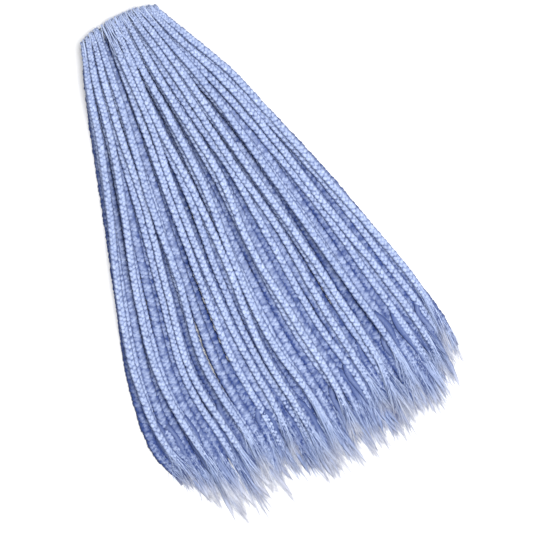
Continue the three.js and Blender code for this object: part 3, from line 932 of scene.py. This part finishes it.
def tie_material(settings):
    """An elastic cord's woven cover: two sets of threads that cross on the slant."""
    material, tree, shader = fresh_material("Elastic cord")
    strand_map = tree.nodes.new("ShaderNodeUVMap")
    strand_map.uv_map = "Strand"
    split = tree.nodes.new("ShaderNodeSeparateXYZ")
    tree.links.new(strand_map.outputs[0], split.inputs[0])
    threads_round, thread_pitch = 8, 0.0009
    threads = []
    for way in (1, -1):
        round_part = number(tree, "MULTIPLY", split.outputs[0], way * threads_round * 2 * math.pi)
        along_part = number(tree, "MULTIPLY", split.outputs[1], 2 * math.pi / thread_pitch)
        wave = number(tree, "SINE", number(tree, "ADD", round_part, along_part))
        threads.append(wave)
    height = number(tree, "MULTIPLY", threads[0], threads[1])
    light = number(tree, "MAXIMUM", number(tree, "MULTIPLY", height, 0.8), 0.0)
    colour = blend(tree, light, settings.cord_colour, settings.thread_colour)
    tree.links.new(colour, shader.inputs["Base Color"])
    rough = number(tree, "SUBTRACT", 0.72, number(tree, "MULTIPLY", light, 0.25))
    tree.links.new(rough, shader.inputs["Roughness"])
    add_bump(tree, shader, height, 0.8, 0.00012)
    return material


def floor_material(settings):
    """A plain matt floor with the faintest mottle."""
    material, tree, shader = fresh_material("Pale floor")
    noise = tree.nodes.new("ShaderNodeTexNoise")
    noise.inputs["Scale"].default_value = 60.0
    shade = tuple(0.985 * channel for channel in settings.floor_colour)
    colour = blend(tree, noise.outputs["Fac"], shade, settings.floor_colour)
    tree.links.new(colour, shader.inputs["Base Color"])
    shader.inputs["Roughness"].default_value = 0.9
    shader.inputs["Specular IOR Level"].default_value = 0.2
    return material


class BRAIDS_OT_plaits(Operator):
    """Build the plaits with their loops, brushed ends and fuzz, one piece for each solid"""

    bl_idname = "braids.plaits"
    bl_label = "Build the plaits"

    def execute(self, context):
        settings = context.scene.braid_settings
        hair = hair_material(settings)
        for index, node in enumerate(BRAIDS):
            chance = np.random.default_rng(PLAIT_SEED + index)
            route = BraidRoute(node)
            skin = Skin()
            lowest, below = index < BRAIDS_LOWEST, index < BRAIDS_BELOW
            neck = settings.loose_neck * (1 if node in BESIDE_NOTCH else chance.uniform(0.0, 0.25))
            # Painted shade added evenly over the plaits of the lower layers, most on the lowest
            shaded = 0.4 if lowest else 0.18 * below
            add_plait(skin, route, settings, chance, below, shaded, neck)
            add_loop(skin, route, chance)
            clumps = draw_clumps(route, chance, CLUMPS)
            # Wide locks fill the gaps with hair in painted shade, and lower layers have more of them
            wide_count = 8 if lowest else 6 if below else 2 * (index < TOP_BRAID)
            add_locks(skin, route, clumps, below, lowest, wide_count, chance)
            add_brush(skin, route, settings, clumps, chance)
            add_fuzz(skin, route, settings, below, chance)
            piece = skin.build(node.replace("braid", "box_braid"), hair)
            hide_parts(node)
            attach(piece, "root")
        return {"FINISHED"}


class BRAIDS_OT_head(Operator):
    """Lay smooth strands and fine hairs over the edge of the head"""

    bl_idname = "braids.head"
    bl_label = "Dress the head"

    def execute(self, context):
        settings = context.scene.braid_settings
        chance = np.random.default_rng(HEAD_SEED)
        routes = sorted((BraidRoute(node) for node in BRAIDS[TOP_BRAID:]), key=lambda r: r.loop[0])
        skin = Skin()
        add_head_strands(skin, routes, chance)
        add_head_fuzz(skin, routes, settings, chance)
        piece = skin.build("head_strands", bpy.data.materials["Plaited hair"])
        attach(piece, "root")
        return {"FINISHED"}


class BRAIDS_OT_tie(Operator):
    """Build the elastic tie that runs through every loop, out and back"""

    bl_idname = "braids.tie"
    bl_label = "Build the tie"

    def execute(self, context):
        settings = context.scene.tie_settings
        loops = sorted((BraidRoute(node).loop for node in BRAIDS), key=lambda place: place[2])
        low = sorted(loops[: len(loops) // 2], key=lambda place: place[0])
        high = sorted(loops[len(loops) // 2 :], key=lambda place: -place[0])
        least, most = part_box("tie_cord")
        half = settings.diameter / 2
        between = (low[0][2] + high[0][2]) / 2
        turn = 0.0022
        right = np.array([low[-1][0] + turn, least.y + 2 * half, between])
        left = np.array([low[0][0] - turn, least.y + 2 * half, between])
        stops = np.array([*low, right, *high, left, low[0]])
        knots = np.r_[0.0, np.cumsum(np.linalg.norm(np.diff(stops, axis=0), axis=1))]
        lengths = np.linspace(0.0, knots[-1], 400, endpoint=False)
        middle = np.stack([follow(knots, stops[:, k], lengths, False) for k in range(3)], axis=1)
        direction = unit(np.roll(middle, -1, axis=0) - np.roll(middle, 1, axis=0))
        out = np.broadcast_to(np.array([0.0, 1.0, 0.0]), middle.shape)
        halves = np.full(len(lengths), half)
        skin = Skin()
        skin.tube(tube_rings(middle, direction, out, halves, halves, 10), lengths, closed=True)
        piece = skin.build("elastic_tie", tie_material(settings))
        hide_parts("tie_cord")
        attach(piece, "root")
        return {"FINISHED"}


class BRAIDS_OT_stage(Operator):
    """Lay the floor, hang the lights and place the camera straight above the bundle"""

    bl_idname = "braids.stage"
    bl_label = "Set the stage"

    def execute(self, context):
        settings = context.scene.stage_settings
        floor_size = 3.0
        corners = [(-1, -1), (1, -1), (1, 1), (-1, 1)]
        mesh = bpy.data.meshes.new("floor")
        points = [(x * floor_size, y * floor_size, 0) for x, y in corners]
        mesh.from_pydata(points, [], [(0, 1, 2, 3)])
        mesh.materials.append(floor_material(settings))
        floor = bpy.data.objects.new("floor", mesh)
        context.scene.collection.objects.link(floor)
        turn = math.radians(28.0)
        picture_right = np.array([math.cos(turn), -math.sin(turn), 0.0])
        picture_up = np.array([math.sin(turn), math.cos(turn), 0.0])
        picture_middle = np.array([0.0240, -0.0304, 0.012])
        camera_data = bpy.data.cameras.new("camera")
        distance = settings.camera_height - picture_middle[2]
        camera_data.sensor_fit = "HORIZONTAL"
        camera_data.angle = 2 * math.atan(settings.view_width / 2 / distance)
        camera = bpy.data.objects.new("camera", camera_data)
        camera.location = (picture_middle[0], picture_middle[1], settings.camera_height)
        camera.rotation_euler = (0.0, 0.0, -turn)
        context.scene.collection.objects.link(camera)
        context.scene.camera = camera
        key_data = bpy.data.lights.new("key light", "AREA")
        key_data.shape = "DISK"
        key_data.size = 0.9
        key_data.energy = settings.key_power
        key = bpy.data.objects.new("key light", key_data)
        place = picture_middle + 0.2 * picture_right + 0.1 * picture_up + np.array([0, 0, 1.2])
        key.location = place
        aim = picture_middle - place
        heading = math.atan2(aim[1], aim[0])
        tilt = math.atan2(math.hypot(aim[0], aim[1]), -aim[2])
        key.rotation_euler = (tilt, 0.0, heading - math.pi / 2)
        context.scene.collection.objects.link(key)
        world = bpy.data.worlds.new("studio")
        world.use_nodes = True
        background = next(node for node in world.node_tree.nodes if node.type == "BACKGROUND")
        background.inputs["Color"].default_value = (1.0, 1.0, 1.0, 1.0)
        background.inputs["Strength"].default_value = settings.sky_strength
        context.scene.world = world
        context.scene.view_settings.view_transform = "Standard"
        return {"FINISHED"}


class BRAIDS_PT_panel(Panel):
    """The bundle's sizes, colours and buttons."""

    bl_idname = "BRAIDS_PT_panel"
    bl_label = "Braid bundle"
    bl_space_type = "VIEW_3D"
    bl_region_type = "UI"
    bl_category = "Braids"

    def draw(self, context):
        for operator, name in (
            (BRAIDS_OT_plaits, "braid_settings"),
            (BRAIDS_OT_head, "braid_settings"),
            (BRAIDS_OT_tie, "tie_settings"),
            (BRAIDS_OT_stage, "stage_settings"),
        ):
            settings = getattr(context.scene, name)
            box = self.layout.box()
            for key in settings.__annotations__:
                box.prop(settings, key)
            box.operator(operator.bl_idname)


CLASSES = (
    BraidSettings,
    TieSettings,
    StageSettings,
    BRAIDS_OT_plaits,
    BRAIDS_OT_head,
    BRAIDS_OT_tie,
    BRAIDS_OT_stage,
    BRAIDS_PT_panel,
)


def register():
    """Registers the classes and hangs their settings on the scene."""
    for made in CLASSES:
        bpy.utils.register_class(made)
    bpy.types.Scene.braid_settings = PointerProperty(type=BraidSettings)
    bpy.types.Scene.tie_settings = PointerProperty(type=TieSettings)
    bpy.types.Scene.stage_settings = PointerProperty(type=StageSettings)


def unregister():
    """Takes the settings off the scene and unregisters the classes."""
    del bpy.types.Scene.stage_settings
    del bpy.types.Scene.tie_settings
    del bpy.types.Scene.braid_settings
    for made in reversed(CLASSES):
        bpy.utils.unregister_class(made)


def main():
    """Builds the whole look."""
    register()
    bpy.ops.braids.stage()
    bpy.ops.braids.plaits()
    bpy.ops.braids.head()
    bpy.ops.braids.tie()


if __name__ == "__main__":
    main()
